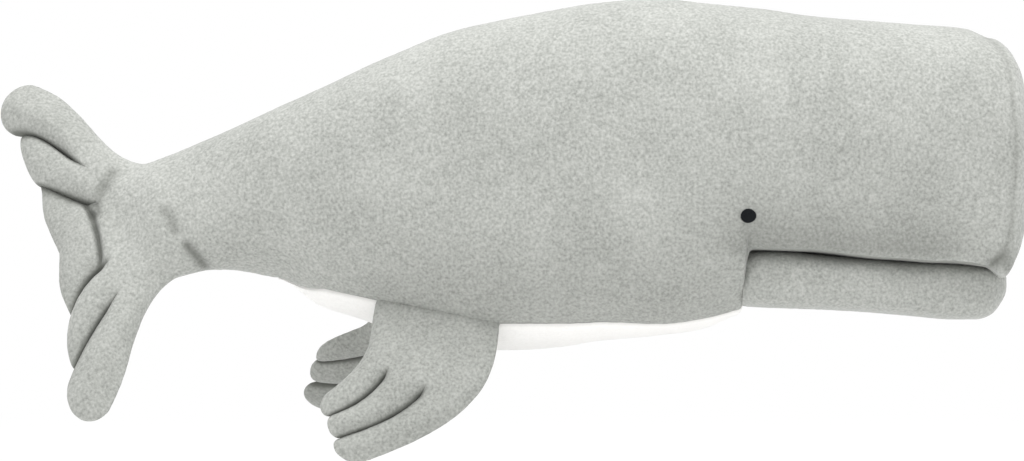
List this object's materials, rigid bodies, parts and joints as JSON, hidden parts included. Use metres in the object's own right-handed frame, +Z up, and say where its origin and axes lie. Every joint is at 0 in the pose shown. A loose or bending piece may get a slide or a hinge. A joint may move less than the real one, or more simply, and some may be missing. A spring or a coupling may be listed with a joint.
{
  "type": "plush whale",
  "caption": "Stuffed sperm whale with a blunt head, hinged lower jaw, hanging stitched fins and a twisted lobed tail; a soft toy.",
  "frame": {"origin": "on the flat patch under the belly, on the middle plane of the body", "axes": "+X from the tail towards the head, +Z up, +Y towards the toy's left side"},
  "size_m": [0.6024, 0.1805, 0.2729],
  "materials": {
    "side_panel_right": "short-pile heather grey fleece",
    "side_panel_left": "short-pile heather grey fleece",
    "belly_panel": "short-pile off-white fleece",
    "mouth_lining": "grey fleece in the shade of the mouth",
    "face_gusset": "short-pile heather grey fleece",
    "jaw_panels": "short-pile heather grey fleece",
    "fin_panels": "short-pile heather grey fleece",
    "tail_panels": "short-pile heather grey fleece",
    "fluke_panels": "short-pile heather grey fleece",
    "filling": "loose white polyester fibre",
    "eyes": "black satin-stitch embroidery thread"
  },
  "bodies": {
    "body": {"side_panel_right": "side_panel_right", "side_panel_left": "side_panel_left", "belly_panel": "belly_panel", "mouth_lining": "mouth_lining", "face_gusset": "face_gusset", "body_filling": "filling", "eye_right": "eyes", "eye_left": "eyes"},
    "jaw": {"jaw_upper_panel": "jaw_panels", "jaw_under_panel": "jaw_panels", "jaw_filling": "filling"},
    "fin_right": {"fin_right_outer_panel": "fin_panels", "fin_right_inner_panel": "fin_panels", "fin_right_filling": "filling"},
    "fin_left": {"fin_left_outer_panel": "fin_panels", "fin_left_inner_panel": "fin_panels", "fin_left_filling": "filling"},
    "tail_stock": {"tail_stock_panel_right": "tail_panels", "tail_stock_panel_left": "tail_panels", "tail_stock_filling": "filling"},
    "fluke_root": {"fluke_root_cover": "tail_panels", "fluke_root_filling": "filling"},
    "fluke_right": {"fluke_right_upper_panel": "fluke_panels", "fluke_right_under_panel": "fluke_panels", "fluke_right_filling": "filling"},
    "fluke_left": {"fluke_left_upper_panel": "fluke_panels", "fluke_left_under_panel": "fluke_panels", "fluke_left_filling": "filling"}
  },
  "joints": [
    {"name": "jaw_open", "type": "hinge", "parent": "body", "child": "jaw", "pos_m": [0.1313, 0, 0.02313], "axis": [0, 1, 0], "range_deg": [0, 25], "stiffness_Nm_per_rad": 0.6},
    {"name": "fin_right_flap", "type": "hinge", "parent": "body", "child": "fin_right", "pos_m": [-0.05024, -0.03767, 0.01609], "axis": [-0.9666, 0.1807, 0.1818], "range_deg": [-25, 65]},
    {"name": "fin_left_flap", "type": "hinge", "parent": "body", "child": "fin_left", "pos_m": [-0.05024, 0.03767, 0.01609], "axis": [0.9666, 0.1807, -0.1818], "range_deg": [-50, 40]},
    {"name": "tail_bend", "type": "hinge", "parent": "body", "child": "tail_stock", "pos_m": [-0.184, 0, 0.08363], "axis": [0, 1, 0], "range_deg": [-10, 10], "stiffness_Nm_per_rad": 0.2},
    {"name": "tail_twist", "type": "hinge", "parent": "tail_stock", "child": "fluke_root", "pos_m": [-0.204, 0, 0.07813], "axis": [0.9511, 0, 0.309], "range_deg": [-75, 15]},
    {"name": "fluke_right_flap", "type": "hinge", "parent": "fluke_root", "child": "fluke_right", "pos_m": [-0.21176, -0.01674, 0.04106], "axis": [0.8675, -0.3208, -0.3802], "range_deg": [-25, 25], "stiffness_Nm_per_rad": 0.05},
    {"name": "fluke_left_flap", "type": "hinge", "parent": "fluke_root", "child": "fluke_left", "pos_m": [-0.23207, 0.01674, 0.10356], "axis": [0.4783, 0.3208, 0.8175], "range_deg": [-25, 25], "stiffness_Nm_per_rad": 0.05}
  ]
}
